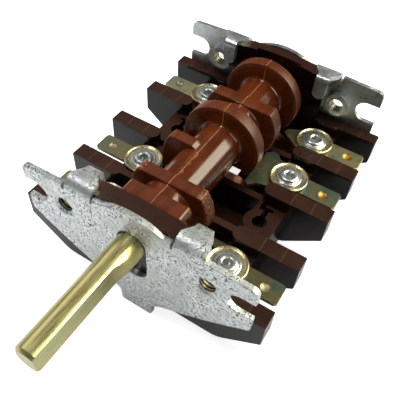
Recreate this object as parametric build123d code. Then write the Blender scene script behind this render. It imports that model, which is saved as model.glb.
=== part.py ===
from build123d import *
from math import cos, radians, sin
import os

# Rotary cam switch, in millimetres. The frame stands as the photograph shows it:
# +X to the right of the shaft, +Y from the front plate to the rear plate, +Z up.
# The origin lies on the shaft axis, in the front face of the front plate.

# Pressed mounting plates
plate_t = 1.2
arm_half = 25.4
arm_top = 6.3
arm_rise = 0.4
arm_low = -6.3
arm_corner_r = 1.5
arm_foot_r = 0.5
waist = (14.65, -13.1)
throat = (6.4, -17.3)
throat_r = 1.2
plate_crown_half = 6.9
plate_crown_foot = 6.65
plate_crown_top = 8.3
plate_crown_r = 1.6
rim_r = 0.25
slot_half = 2.55
slot_root = 20.2
fixing_x = 16.0
fixing_core_r = 1.65
fixing_sink_r = 2.4
fixing_sink = 0.5
fixing_sink_angle = 52
extrusion_r = 2.9
extrusion_len = 1.8
keyhole_r = 3.3
keyhole_drop = 6.9
tongue_half = 3.9
tongue_root = 19.4
tongue_low = 23.0
tongue_r = 0.8
tab_middle = 11.9
tab_root_half = 3.0
tab_end_half = 1.5
tab_relief = 0.5
tab_under = 7.0
tab_bend_r = 1.5
hook_r = 0.3
hook_low = 2.4
hook_end_r = 1.3

# Moulded base
base_front = plate_t
base_rear = 60.7
base_low = -18.3
body_half = 18.8
keel_r = 5.0
fin_half = 27.8
fin_top = -5.0
fin_skirt = -11.3
fin_t = 3.8
fin_pitch = 14.04
fin_first = 15.26
fin_round = 1.7
left_fin_in = 15.6
right_fin_in = 12.5
wall_t = 3.6
front_fin_t = 4.0
rear_wall_t = 3.1
wall_half = 12.6
crown_half = 8.8
crown_end = 7.1
crown_mid = 7.75
shoulder_bevel = 1.7
rear_recess_half = 5.6
rear_recess_low = 3.0
rear_recess_d = 0.8
side_wall_t = 1.4
floor_t = 1.8
shelf_lip = 0.7
shelf_t = 3.2
shelf_sunk = 0.3
boss_r = 3.5
boss_slot = 1.1
web_t = 0.9
web_out = 1.9
web_in = 1.5
leaf_slot_t = 0.8
leaf_slot_half = 1.35
light_hole_left = -2.2
light_hole_right = 1.6
light_hole_front = 38.8
light_hole_rear = 43.9
window_x = 10.5
window_half = 2.0
window_front = 3.2
window_rear = 2.8
window_shift = 1.2
cheek_t = 1.6
cheek_offsets = [1.2, 0.6, 1.2]
cheek_tops = [-5.0, -8.7, -8.0]
cheek_relief_r = 5.8
cheek_sunk = 1.5

# Rotor
shaft_r = 3.0
shaft_free = 26.4
shaft_chamfer = 0.6
flat_x = 1.6
flat_end = -7.5
journal_r = 2.0
journal_front = 57.0
journal_end = 61.6
running_fit = 0.06
press_gap = 0.03
body_r = 5.15
cam_top = 5.6
detent_r = 8.36
detent_half_x = 7.0
detent_half_z = 5.5
detent_front = 6.1
detent_rear = 9.5
stub_r = 4.6
rotor_front = 5.1
rotor_rear = 57.3
cam_r = 9.0
disc_r = 9.2
cam_1 = (12.0, 14.8)
cam_2 = (22.9, 25.5)
cam_3 = (32.0, 35.0)
cam_4 = (40.2, 43.4)
cam_5 = (50.8, 53.6)
pin_y = 18.5
pin_angle = 24.8
pin_r = 0.8
pin_depth = 0.35

# Terminals, their rivets and clamp washers
bay_1 = 10.3
bay_2 = 24.2
bay_3 = 38.15
bay_4 = 52.4
strip_half = 2.45
strip_t = 0.8
strip_top = -7.5
strip_end = 27.0
strip_corner = 0.5
near_step = 0.4
far_step = 1.4
tab_hole_x = 23.6
tab_hole_r = 1.1
rivet_x = body_half - 3.8
rivet_r = 1.5
rivet_gap = 0.05
rivet_head_r = 2.9
rivet_head_h = 1.0
rivet_bore_r = 0.85
rivet_head_round = 0.7
rivet_bore_d = 2.0
rivet_bore_round = 0.3
rivet_tail_r = 2.3
rivet_tail_h = 0.6
washer_r = 4.4
washer_t = 0.25
washer_rim = 0.35
washer_rim_t = 0.6
washer_round = 0.12

# Contact leaves, contacts and the common bar under the camshaft
leaf_t = 0.3
leaf_ring_r = 3.2
leaf_half = 1.2
leaf_yoke_front = 33.4
leg_offset = 3.9
leg_low = -12.7
blade_top = -9.55
blade_knee = 4.6
blade_tip = 0.8
blade_foot = 12.1
contact_x = 2.6
contact_r = 1.4
contact_shank_r = 0.7
meet_z = -11.3
bar_top = -12.2
bar_t = 1.0
bar_left = -4.2
bar_spine = -0.4
bar_right = 4.2
bar_front = 11.6
bar_rear = 54.2
bar_pad_half = 1.5
bar_fit = 0.1
bar_rivets = [20.4, 48.6]
bar_rivet_x = -2.3
bar_rivet_r = 0.9
bar_post_r = 1.7
bar_rivet_deep = 2.3
bar_rivet_head_r = 1.6
bar_rivet_head_h = 0.6
bar_rivet_round = 0.4

# Detent spring under the front block of the camshaft
spring_t = 0.4
spring_front = 6.3
spring_rear = 9.3
spring_top = -8.7
spring_crown = 4.0
spring_foot_x = 10.6
spring_foot_z = -13.0
seat_half = 1.2
seat_lip = 0.4


def slab(outline, front, rear):
    """A body with an X and Z outline, between two Y stations."""
    return extrude(Plane.XZ.offset(-rear) * outline, rear - front)


def rod(radius, front, rear, x=0.0, z=0.0):
    """A round body along Y."""
    return slab(Pos(x, z) * Circle(radius), front, rear)


def post(radius, x, y, low, top):
    """A round body along Z."""
    return Pos(x, y, (low + top) / 2) * Cylinder(radius, top - low)


def block(x0, x1, y0, y1, z0, z1):
    """A plain box given by its faces."""
    return Pos((x0 + x1) / 2, (y0 + y1) / 2, (z0 + z1) / 2) * Box(x1 - x0, y1 - y0, z1 - z0)


def panel(points, low, top):
    """A flat plate with an X and Y outline, between two heights."""
    return Pos(0, 0, low) * extrude(make_face(Polyline(*points, close=True)), top - low)


def sheet_bend(points, x0, x1):
    """A strip along X whose section is drawn in Y and Z."""
    section = Plane.YZ.offset(x0) * make_face(Polyline(*points, close=True))
    return extrude(section, x1 - x0)


def mirrored(points):
    """Both halves of an outline drawn for +X, which starts and ends on the Z axis."""
    return points + [(-x, z) for x, z in reversed(points[1:-1])]


# Mounting plates

def plate_outline():
    """The flat pressing: two arms, a crown, a tongue below and room for the tabs."""
    bend_z = tab_under - tab_bend_r
    tab_in = tab_middle - tab_root_half - tab_relief
    tab_out = tab_middle + tab_root_half + tab_relief
    top = Polyline(
        (-tab_in, bend_z), (-tab_in, plate_crown_foot), (tab_in, plate_crown_foot), (tab_in, bend_z),
        (tab_out, bend_z), (tab_out, arm_top + arm_rise), (arm_half, arm_top), (arm_half, arm_low),
    )
    right = ThreePointArc((arm_half, arm_low), waist, throat)
    foot = Polyline(
        throat, (tongue_half, -tongue_root), (tongue_half, -tongue_low), (-tongue_half, -tongue_low),
        (-tongue_half, -tongue_root), (-throat[0], throat[1]),
    )
    left = ThreePointArc((-throat[0], throat[1]), (-waist[0], waist[1]), (-arm_half, arm_low))
    rest = Polyline(
        (-arm_half, arm_low), (-arm_half, arm_top), (-tab_out, arm_top + arm_rise), (-tab_out, bend_z),
        (-tab_in, bend_z),
    )
    face = make_face(Curve() + [top, right, foot, left, rest])
    face = fillet(corners(face, arm_half, arm_top), arm_corner_r)
    face = fillet(corners(face, arm_half, arm_low), arm_foot_r)
    face = fillet(corners(face, tongue_half, -tongue_root), throat_r)
    face = fillet(corners(face, tongue_half, -tongue_low), tongue_r)
    face += plate_crown()
    return fillet(corners(face, plate_crown_half, plate_crown_foot), plate_crown_r)


def corners(face, x, z):
    """The two mirrored corners of a flat outline at +X and -X."""
    return [v for v in face.vertices() if abs(abs(v.X) - x) < 0.1 and abs(v.Y - z) < 0.1]


def plate_crown():
    """The round rise in the middle of the plate's top edge."""
    rise = plate_crown_top - plate_crown_foot
    radius = (plate_crown_half ** 2 + rise ** 2) / (2 * rise)
    disc = Pos(0, plate_crown_top - radius) * Circle(radius)
    return disc & (Pos(0, plate_crown_foot + rise) * Rectangle(4 * plate_crown_half, 2 * rise))


def plate_cuts():
    """The open slots and the keyhole round the shaft."""
    slot_length = arm_half - slot_root
    cuts = Circle(keyhole_r)
    cuts += Pos(0, -keyhole_drop / 2) * Rectangle(2 * keyhole_r, keyhole_drop)
    cuts += Pos(0, -keyhole_drop) * Circle(keyhole_r)
    for side in (-1, 1):
        cuts += Pos(side * (slot_root + slot_half), 0) * Circle(slot_half)
        middle = side * (slot_root + slot_half + slot_length / 2)
        cuts += Pos(middle, 0) * Rectangle(slot_length, 2 * slot_half)
    return cuts


def tab_plan():
    """The tab seen from above: wide at its root, narrow where it hooks down."""
    wide_y = plate_t + tab_bend_r
    narrow_y = base_front + wall_t
    points = [
        (tab_middle - tab_root_half, -1), (tab_middle - tab_root_half, wide_y),
        (tab_middle - tab_end_half, narrow_y), (tab_middle - tab_end_half, 2 * narrow_y),
        (tab_middle + tab_end_half, 2 * narrow_y), (tab_middle + tab_end_half, narrow_y),
        (tab_middle + tab_root_half, wide_y), (tab_middle + tab_root_half, -1),
    ]
    return panel(points, hook_low - 1, tab_under + plate_t + 1)


def quarter(centre, radius, start):
    """Points of a quarter circle in Y and Z, clockwise from an angle in degrees."""
    turns = [radians(start - 15 * i) for i in range(7)]
    return [(centre[0] + radius * cos(a), centre[1] + radius * sin(a)) for a in turns]


def bent_tab(side):
    """A tab that bends back over the base wall and hooks down behind it."""
    root = (plate_t + tab_bend_r, tab_under - tab_bend_r)
    hook = (base_front + wall_t, tab_under - hook_r)
    outer = quarter(root, tab_bend_r + plate_t, 180) + quarter(hook, hook_r + plate_t, 90)
    inner = quarter(hook, hook_r, 90)[::-1] + quarter(root, tab_bend_r, 180)[::-1]
    low = [(hook[0] + hook_r + plate_t, hook_low), (hook[0] + hook_r, hook_low)]
    sunk = root[1] - rim_r
    strip = sheet_bend([(0, sunk)] + outer + low + inner + [(plate_t, sunk)],
                       tab_middle - tab_root_half, tab_middle + tab_root_half)
    strip = strip & tab_plan()
    tips = [e for e in strip.edges().filter_by(Axis.Y) if abs(e.center().Z - hook_low) < 0.01]
    strip = fillet(tips, hook_end_r)
    if side < 0:
        strip = mirror(strip, Plane.YZ)
    return strip


def mounting_plate():
    """The front plate: a zinc plated pressing with two extruded and tapped holes."""
    plate = slab(plate_outline() - plate_cuts(), 0, plate_t)
    rims = plate.faces().filter_by(Axis.Y).sort_by(Axis.Y)[0].outer_wire().edges()
    root_z = tab_under - tab_bend_r
    plate = fillet([e for e in rims if e.center().Z < root_z - rim_r or e.center().Z > tab_under], rim_r)
    for side in (-1, 1):
        x = side * fixing_x
        plate += rod(extrusion_r, 0, plate_t + extrusion_len, x)
        plate += bent_tab(side)
    for side in (-1, 1):
        x = side * fixing_x
        plate -= rod(fixing_core_r, -1, plate_t + extrusion_len + 1, x)
        sink = extrude(Plane.XZ * Pos(x, 0) * Circle(fixing_sink_r), -fixing_sink, taper=fixing_sink_angle)
        plate -= sink
    return plate


def rear_mounting_plate(front):
    """The same pressing turned to face the rear."""
    return mirror(front, Plane.XZ.offset(-(base_rear + plate_t) / 2))


# Moulded base

def wall_outline(top_in):
    """The end wall with its fins, its shoulders and its arched crown."""
    points = [
        (-fin_half, fin_top), (-fin_half, fin_skirt), (-body_half, base_low), (body_half, base_low),
        (fin_half, fin_skirt), (fin_half, fin_top), (wall_half, fin_top), (wall_half, top_in),
        (crown_half, top_in),
    ]
    crown = ThreePointArc((crown_half, crown_end), (0, crown_mid), (-crown_half, crown_end))
    rest = Polyline((crown_half, crown_end), (crown_half, top_in), (wall_half, top_in))
    lower = Polyline(*points[:-1])
    left = Polyline((-crown_half, crown_end), (-crown_half, top_in), (-wall_half, top_in),
                    (-wall_half, fin_top), (-fin_half, fin_top))
    return make_face(Curve() + [crown, rest, lower, left])


def shoulder_relief(face_y, inward):
    """Bevels the wall's shoulders clear of the tabs' bends."""
    depth = shoulder_bevel
    points = [
        (face_y - inward, tab_under + 1), (face_y - inward, tab_under - depth),
        (face_y, tab_under - depth), (face_y + inward * depth, tab_under),
        (face_y + inward * depth, tab_under + 1),
    ]
    width = wall_half - crown_half + 0.2
    return [sheet_bend(points, x, x + width) for x in (crown_half, -crown_half - width)]


def end_walls():
    """The front and rear walls, each with a bearing hole for the shaft."""
    outline = wall_outline(tab_under)
    front = slab(outline, base_front, base_front + wall_t)
    for x0, x1 in ((-fin_half, -wall_half), (wall_half, fin_half)):
        points = [(x0, fin_top), (x1, fin_top)]
        outer = [(fin_half, fin_skirt), (body_half, base_low)]
        if x0 < 0:
            outline_x = points[::-1] + [(-x, z) for x, z in outer] + [(x1, base_low)]
        else:
            outline_x = points + outer + [(x0, base_low)]
        fin = make_face(Polyline(*outline_x, close=True))
        front += slab(fin, base_front, base_front + front_fin_t)
    rear = slab(outline, base_rear - rear_wall_t, base_rear)
    for relief in shoulder_relief(base_front, 1):
        front -= relief
    for relief in shoulder_relief(base_rear, -1):
        rear -= relief
    inner = base_rear - rear_wall_t
    rear -= block(-rear_recess_half, rear_recess_half, inner - 1, inner + rear_recess_d, rear_recess_low,
                  plate_crown_top + 1)
    front -= rod(shaft_r + running_fit, 0, base_front + wall_t + 1)
    rear -= rod(journal_r + running_fit, base_rear - rear_wall_t - 1, base_rear + 1)
    return front + rear


def fin_outline(side, inner):
    """The side view of one fin from its inner end to its tip."""
    points = [
        (inner, fin_top), (fin_half, fin_top), (fin_half, fin_skirt), (body_half, base_low), (inner, base_low),
    ]
    return make_face(Polyline(*[(side * x, z) for x, z in points], close=True))


def fins():
    """Three fins a side between the end walls, with rounded inner ends."""
    pieces = []
    for row in range(3):
        front = fin_first + row * fin_pitch
        for side, inner in ((-1, left_fin_in), (1, right_fin_in)):
            fin = slab(fin_outline(side, inner), front, front + fin_t)
            ends = [e for e in fin.edges().filter_by(Axis.Z) if abs(abs(e.center().X) - inner) < 0.01]
            pieces.append(fillet(ends, fin_round))
    return pieces


def cheeks():
    """Thin partitions under the camshaft, from the left fins to the right ones."""
    pieces = []
    for row, top in enumerate(cheek_tops):
        front = fin_first + row * fin_pitch + cheek_offsets[row]
        cheek = block(-left_fin_in - cheek_sunk, right_fin_in + cheek_sunk, front, front + cheek_t,
                      base_low, top)
        cheek -= rod(cheek_relief_r, front - 1, front + cheek_t + 1)
        cheek -= block(bar_left - bar_fit, bar_spine + bar_fit, front - 1, front + cheek_t + 1,
                       bar_top - bar_t, 0)
        pieces.append(cheek)
    return pieces


def outer_form():
    """The outside of the base, with its rounded lower corners."""
    top = arm_half
    points = [
        (-fin_half, top), (-fin_half, fin_skirt), (-body_half, base_low), (body_half, base_low),
        (fin_half, fin_skirt), (fin_half, top),
    ]
    face = make_face(Polyline(*points, close=True))
    return slab(fillet(corners(face, body_half, base_low), keel_r), base_front, base_rear)


def bay_edges(row):
    """The front and rear limits of a terminal bay."""
    if row == 0:
        return base_front + front_fin_t, fin_first
    if row == 3:
        return fin_first + 2 * fin_pitch + fin_t, base_rear - rear_wall_t
    front = fin_first + (row - 1) * fin_pitch + fin_t
    return front, front + fin_pitch - fin_t


def shelf(side, row, centre):
    """A terminal's floor: a ledge and a holed boss, with a slot for the leaf's leg."""
    front, rear = bay_edges(row)
    floor_top = strip_top - strip_t
    shelf_in = rivet_x - shelf_lip
    ledge = block(shelf_in, body_half, front - shelf_sunk, rear + shelf_sunk, floor_top - shelf_t, floor_top)
    ledge += post(boss_r, rivet_x, centre, floor_top - shelf_t, floor_top)
    web_x = shelf_in - web_out
    ledge += block(web_x, web_x + web_t, centre + web_in, rear + fin_round, floor_top - shelf_t, floor_top)
    ledge -= post(rivet_r + rivet_gap, rivet_x, centre, floor_top - shelf_t - 1, floor_top + 1)
    ledge -= block(rivet_x - boss_slot / 2, rivet_x + boss_slot / 2, centre, centre + leg_offset,
                   floor_top - shelf_t - 1, floor_top + 1)
    leg_y = centre + leg_offset
    ledge -= block(rivet_x - leaf_slot_half, rivet_x + leaf_slot_half, leg_y - leaf_slot_t / 2,
                   leg_y + leaf_slot_t / 2, floor_top - shelf_t - 1, floor_top + 1)
    if side < 0:
        ledge = mirror(ledge, Plane.YZ)
    return ledge


def spring_seats():
    """Two ledges that carry the feet of the detent spring."""
    pieces = []
    for side in (-1, 1):
        x = side * spring_foot_x
        pieces.append(block(x - seat_half, x + seat_half, base_front + wall_t - 0.5, spring_rear + seat_lip,
                            base_low, spring_foot_z - spring_t))
    return pieces


def switch_base():
    """The one-piece phenolic base that carries everything."""
    base = end_walls()
    for piece in fins() + cheeks() + spring_seats():
        base += piece
    base += block(-body_half, body_half, base_front, base_rear, base_low, base_low + floor_t)
    floor_top = strip_top - strip_t
    for side in (-1, 1):
        inner = side * (body_half - side_wall_t)
        outer = side * body_half
        base += block(min(inner, outer), max(inner, outer), base_front, base_rear, base_low, floor_top)
        for row, centre in enumerate((bay_1, bay_2, bay_3, bay_4)):
            base += shelf(side, row, centre)
    for y in bar_rivets:
        base += post(bar_post_r, bar_rivet_x, y, base_low, bar_top - bar_t)
        base -= post(bar_rivet_r + press_gap, bar_rivet_x, y, bar_top - bar_t - bar_rivet_deep - 0.2, bar_top)
    base -= block(light_hole_left, light_hole_right, light_hole_front, light_hole_rear, base_low - 1,
                  base_low + floor_t + 1)
    for x in (-window_x, window_x):
        for y in (bay_1 + window_shift, bay_2, bay_3, bay_4):
            base -= block(x - window_half, x + window_half, y - window_front, y + window_rear, base_low - 1,
                          base_low + floor_t + 1)
    return base & outer_form()


# Rotor

def drive_shaft():
    """A round shaft with a knob flat, which runs through the camshaft to a rear journal."""
    shaft = rod(shaft_r, -shaft_free, journal_front)
    shaft += rod(journal_r, journal_front, journal_end)
    tips = shaft.edges().filter_by(GeomType.CIRCLE)
    shaft = chamfer([tips.sort_by(Axis.Y)[0], tips.sort_by(Axis.Y)[-1]], shaft_chamfer)
    shaft -= block(flat_x, 2 * shaft_r, -shaft_free - 1, flat_end, -2 * shaft_r, 2 * shaft_r)
    shaft -= pin_line(pin_r)
    return shaft


def pin_line(radius):
    """The cross pin's line through the camshaft."""
    return Pos(0, pin_y, 0) * Rot(0, 90 - pin_angle, 0) * Cylinder(radius, 2 * body_r + 2)


def top_flat(width):
    """Everything over the moulded flat on a lobe's top."""
    return slab(Pos(0, cam_top + disc_r) * Rectangle(width, 2 * disc_r), rotor_front, rotor_rear)


def notch(radius, start, end):
    """A sector between two angles, outside the camshaft's body."""
    points = [(0, 0)]
    steps = 8
    for i in range(steps + 1):
        angle = radians(start + (end - start) * i / steps)
        points.append((2 * radius * cos(angle), 2 * radius * sin(angle)))
    return make_face(Polyline(*points, close=True))


def lobe(span, radius, notches):
    """One cam: a disc between two Y stations, less its notches."""
    outline = Circle(radius)
    for start, end in notches:
        outline -= notch(radius, start, end)
    return slab(outline + Circle(body_r), *span)


def camshaft():
    """The moulded camshaft: a detent block and five cams on a round body."""
    body = rod(body_r, detent_rear, rotor_rear) + rod(stub_r, rotor_front, detent_front)
    outline = Circle(detent_r) & Rectangle(2 * detent_half_x, 2 * detent_half_z)
    body += slab(outline, detent_front, detent_rear)
    flat_cams = lobe(cam_1, cam_r, [(205, 250)])
    flat_cams += lobe(cam_2, cam_r, [(-90, 100)])
    flat_cams += lobe(cam_4, cam_r, [(275, 320)])
    body += flat_cams - top_flat(4 * disc_r)
    body += lobe(cam_3, disc_r, [(195, 240), (275, 317)])
    body += lobe(cam_5, disc_r, [(250, 290)])
    body -= rod(shaft_r + press_gap, 0, base_rear)
    body -= pin_line(pin_r)
    return body


def shaft_pin():
    """The cross pin that makes the camshaft turn with the shaft."""
    reach = body_r - pin_depth
    return Pos(0, pin_y, 0) * Rot(0, 90 - pin_angle, 0) * Cylinder(pin_r, 2 * reach)


# Terminals

def terminal_plan(name):
    """The plan of a terminal, drawn for the right side, with its head towards the camshaft."""
    plans = {
        "left_1": (bay_1, [(12.0, bay_1 + 4.4), (8.6, bay_1 + 4.4), (8.6, bay_1 - 0.6)]),
        "left_2": (bay_2, [(11.6, bay_2 + 2.4), (10.6, bay_2 + 1.6), (10.6, bay_2 - 1.6)]),
        "left_3": (bay_4, [(11.8, bay_4 + 3.2), (8.2, bay_4 + 1.4), (8.2, bay_4 - 1.6)]),
        "right_1": (bay_1, [(13.6, 14.8), (8.6, 14.8), (8.6, 12.8), (11.3, 12.8)]),
        "right_2": (bay_3, [(13.6, 42.6), (10.9, 42.6), (9.9, 43.9), (8.4, 44.2), (7.0, 42.9),
                            (7.0, 31.9), (7.9, 31.5), (9.6, 33.0), (11.9, 33.6)]),
        "right_3": (bay_4, [(13.6, 56.4), (7.8, 53.4), (7.2, 52.0), (11.7, 48.9)]),
    }
    return plans[name]


def terminal(name):
    """A solder tab, its riveted middle and its head by the camshaft, cut from one strip."""
    side = -1 if name.startswith("left") else 1
    centre, head = terminal_plan(name)
    tip = strip_end - strip_corner
    near = centre - strip_half
    far = centre + strip_half
    points = [
        (rivet_x - near_step, near), (tip, near), (strip_end, near + strip_corner),
        (strip_end, far - strip_corner), (tip, far), (rivet_x - far_step, far),
    ] + head
    plan = [(side * x, y) for x, y in points]
    if side < 0:
        plan = plan[::-1]
    strip = panel(plan, strip_top - strip_t, strip_top)
    strip -= post(tab_hole_r, side * tab_hole_x, centre, strip_top - 2, strip_top + 1)
    strip -= post(rivet_r + rivet_gap, side * rivet_x, centre, strip_top - 2, strip_top + 1)
    return strip


def clamp_washer(side, centre):
    """A dished washer with a raised rim, over the leaf's ring."""
    low = strip_top + leaf_t
    washer = post(washer_r, side * rivet_x, centre, low, low + washer_t)
    rim = post(washer_r, side * rivet_x, centre, low, low + washer_t + washer_rim)
    rim -= post(washer_r - washer_rim_t, side * rivet_x, centre, low - 1, low + 3)
    washer += rim
    washer -= post(rivet_r + rivet_gap, side * rivet_x, centre, low - 1, low + 3)
    tops = washer.edges().filter_by(GeomType.CIRCLE).group_by(Axis.Z)[-1]
    return fillet(tops, washer_round)


def terminal_rivet(side, centre):
    """A hollow rivet with a rolled head, closed over under the shelf."""
    seat = strip_top + leaf_t + washer_t
    shelf_low = strip_top - strip_t - shelf_t
    head = post(rivet_head_r, side * rivet_x, centre, seat, seat + rivet_head_h)
    head = fillet(head.edges().filter_by(GeomType.CIRCLE).group_by(Axis.Z)[-1], rivet_head_round)
    rivet = head + post(rivet_r, side * rivet_x, centre, shelf_low - 0.1, seat + 0.2)
    rivet += post(rivet_tail_r, side * rivet_x, centre, shelf_low - rivet_tail_h, shelf_low)
    top = seat + rivet_head_h
    rivet -= post(rivet_bore_r, side * rivet_x, centre, top - rivet_bore_d, top + 1)
    mouth = rivet.edges().filter_by(GeomType.CIRCLE).group_by(Axis.Z)[-1]
    mouth = [e for e in mouth if e.radius < rivet_bore_r + 0.01]
    return fillet(mouth, rivet_bore_round)


# Contact leaves

def leaf_fingers(name):
    """The bay centre of a leaf and the Y centres of its fingers."""
    stations = {
        "left_1": (bay_1, [13.4]),
        "left_2": (bay_2, [24.2]),
        "left_3": (bay_4, [52.2]),
        "right_1": (bay_1, [13.4]),
        "right_2": (bay_3, [33.1, 41.8]),
        "right_3": (bay_4, [52.2]),
    }
    return stations[name]


def contact_leaf(name):
    """A copper alloy leaf: a ring under the washer, a leg through the shelf and its fingers."""
    side = -1 if name.startswith("left") else 1
    centre, fingers = leaf_fingers(name)
    low = strip_top
    leg_y = centre + leg_offset
    half = leaf_slot_half - 0.15
    leaf = post(leaf_ring_r, rivet_x, centre, low, low + leaf_t)
    leaf += block(rivet_x - half, rivet_x + half, centre + 1.8, leg_y + leaf_t / 2, low, low + leaf_t)
    leaf -= post(rivet_r + rivet_gap, rivet_x, centre, low - 1, low + 1)
    leaf += block(rivet_x - half, rivet_x + half, leg_y - leaf_t / 2, leg_y + leaf_t / 2, leg_low, low + leaf_t)
    front = min(fingers) - leaf_half
    if len(fingers) > 1:
        front = leaf_yoke_front
    rear = max(leg_y + leaf_t / 2, max(fingers) + leaf_half)
    leaf += block(blade_foot - 0.2, rivet_x + half, front, rear, leg_low, leg_low + leaf_t)
    for y in fingers:
        path = [
            (blade_foot + 0.2, leg_low + leaf_t), (blade_foot, leg_low + leaf_t), (blade_knee, blade_top),
            (blade_tip, blade_top), (blade_tip, blade_top - leaf_t), (blade_knee, blade_top - leaf_t),
            (blade_foot, leg_low), (blade_foot + 0.2, leg_low),
        ]
        finger = slab(make_face(Polyline(*path, close=True)), y - leaf_half, y + leaf_half)
        finger -= post(contact_shank_r, contact_x, y, blade_top - 1, blade_top + 1)
        leaf += finger
    if side < 0:
        leaf = mirror(leaf, Plane.YZ)
    return leaf


def leaf_contact(side, y):
    """A contact rivet in a leaf, with its head below."""
    x = side * contact_x
    under = blade_top - leaf_t
    return post(contact_r, x, y, meet_z, under) + post(contact_shank_r, x, y, under, blade_top)


def contact_stations():
    """Every place where a leaf meets the common bar: name, side and Y station."""
    found = []
    for name in terminal_names:
        side = -1 if name.startswith("left") else 1
        _, fingers = leaf_fingers(name)
        for index, y in enumerate(fingers):
            suffix = "" if len(fingers) == 1 else "_" + "ab"[index]
            found.append((name + suffix, side, y))
    return found


def common_bar():
    """The brass bar that joins whichever leaves the cams press on it."""
    low = bar_top - bar_t
    bar = block(bar_left, bar_spine, bar_front, bar_rear, low, bar_top)
    for _, side, y in contact_stations():
        if side > 0:
            bar += block(bar_spine - 0.5, bar_right, y - bar_pad_half, y + bar_pad_half, low, bar_top)
        bar -= post(contact_shank_r, side * contact_x, y, low - 1, bar_top + 1)
    for y in bar_rivets:
        bar -= post(bar_rivet_r, bar_rivet_x, y, low - 1, bar_top + 1)
    return bar


def bar_contact(side, y):
    """A contact rivet in the common bar."""
    x = side * contact_x
    return post(contact_r, x, y, bar_top, meet_z) + post(contact_shank_r, x, y, bar_top - bar_t, bar_top)


def bar_rivet(y):
    """A rivet that holds the common bar on its post."""
    head = post(bar_rivet_head_r, bar_rivet_x, y, bar_top, bar_top + bar_rivet_head_h)
    head = fillet(head.edges().filter_by(GeomType.CIRCLE).group_by(Axis.Z)[-1], bar_rivet_round)
    return head + post(bar_rivet_r, bar_rivet_x, y, bar_top - bar_t - bar_rivet_deep, bar_top)


def detent_spring():
    """A flat steel spring, arched under the detent block."""
    foot = spring_foot_x
    upper = [
        (-foot - 0.9, spring_foot_z), (-foot + 0.6, spring_foot_z), (-spring_crown, spring_top),
        (spring_crown, spring_top), (foot - 0.6, spring_foot_z), (foot + 0.9, spring_foot_z),
    ]
    lower = [(x, z - spring_t) for x, z in reversed(upper)]
    return slab(make_face(Polyline(*(upper + lower), close=True)), spring_front, spring_rear)


# Export

terminal_names = ["left_1", "left_2", "left_3", "right_1", "right_2", "right_3"]
terminal_rows = {
    "left_1": bay_1, "left_2": bay_2, "left_3": bay_4, "right_1": bay_1, "right_2": bay_3, "right_3": bay_4,
}


def sub_parts():
    """Every node with its shape."""
    front = mounting_plate()
    yield "switch_base", switch_base()
    yield "front_plate", front
    yield "rear_plate", rear_mounting_plate(front)
    yield "drive_shaft", drive_shaft()
    yield "camshaft", camshaft()
    yield "shaft_pin", shaft_pin()
    for name in terminal_names:
        side = -1 if name.startswith("left") else 1
        centre = terminal_rows[name]
        yield "terminal_" + name, terminal(name)
        yield "clamp_washer_" + name, clamp_washer(side, centre)
        yield "terminal_rivet_" + name, terminal_rivet(side, centre)
        yield "contact_leaf_" + name, contact_leaf(name)
    for name, side, y in contact_stations():
        yield "leaf_contact_" + name, leaf_contact(side, y)
        yield "bar_contact_" + name, bar_contact(side, y)
    yield "common_bar", common_bar()
    for index, y in enumerate(bar_rivets):
        yield "bar_rivet_" + str(index + 1), bar_rivet(y)
    yield "detent_spring", detent_spring()


def main():
    os.makedirs("parts", exist_ok=True)
    for name, shape in sub_parts():
        export_step(shape, "parts/" + name + ".step")


main()
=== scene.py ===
import math

import bmesh
import bpy
from mathutils import Matrix, Vector


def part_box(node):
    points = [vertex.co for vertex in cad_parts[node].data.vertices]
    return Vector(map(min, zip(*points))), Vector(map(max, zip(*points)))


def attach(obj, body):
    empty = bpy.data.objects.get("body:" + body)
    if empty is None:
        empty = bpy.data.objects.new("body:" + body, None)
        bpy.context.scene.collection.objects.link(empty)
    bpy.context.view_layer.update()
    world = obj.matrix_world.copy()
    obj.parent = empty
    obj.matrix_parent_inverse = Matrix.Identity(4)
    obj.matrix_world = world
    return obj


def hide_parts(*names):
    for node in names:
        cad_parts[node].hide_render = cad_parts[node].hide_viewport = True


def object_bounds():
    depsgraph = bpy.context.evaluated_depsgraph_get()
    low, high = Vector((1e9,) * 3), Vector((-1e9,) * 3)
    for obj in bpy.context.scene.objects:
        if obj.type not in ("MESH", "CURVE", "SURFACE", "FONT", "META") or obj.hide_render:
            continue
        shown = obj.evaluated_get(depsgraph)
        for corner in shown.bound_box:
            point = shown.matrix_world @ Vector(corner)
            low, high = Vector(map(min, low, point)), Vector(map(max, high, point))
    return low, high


bl_info = {
    "name": "Rotary cam switch",
    "version": (1, 0, 0),
    "blender": (4, 5, 0),
    "location": "View3D > Sidebar > Cam switch",
    "description": "Fine pieces and finishes for an open rotary cam switch",
    "category": "Object",
}

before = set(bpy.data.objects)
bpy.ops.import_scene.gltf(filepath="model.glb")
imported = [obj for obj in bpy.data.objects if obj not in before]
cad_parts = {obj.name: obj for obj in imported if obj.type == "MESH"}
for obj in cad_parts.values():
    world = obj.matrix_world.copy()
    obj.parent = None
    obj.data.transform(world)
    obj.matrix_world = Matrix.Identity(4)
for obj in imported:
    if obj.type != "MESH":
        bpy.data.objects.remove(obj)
loaded_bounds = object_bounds()

MM = 0.001
AXIS_R = 0.001  # radius of a turned profile's end on its axis, in millimetres

# Painted light and shade: how pale each terminal's chromate is drawn, paler towards the back; and the
# terminals whose tab marks are amber
STRIP_LIGHT_AND_SHADE = {"left_1": 0.85, "left_2": 0.85, "left_3": 1.7,
                "right_1": 0.55, "right_2": 0.75, "right_3": 1.1}
AMBER_ROWS = ("right_2", "right_3")
STRIP_YELLOW = (0.40, 0.34, 0.17)
STRIP_TINT = (0.13, 0.27, 0.24)

# How dark the rear plate's zinc is beside the front plate's
REAR_SHADE = 0.62

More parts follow.
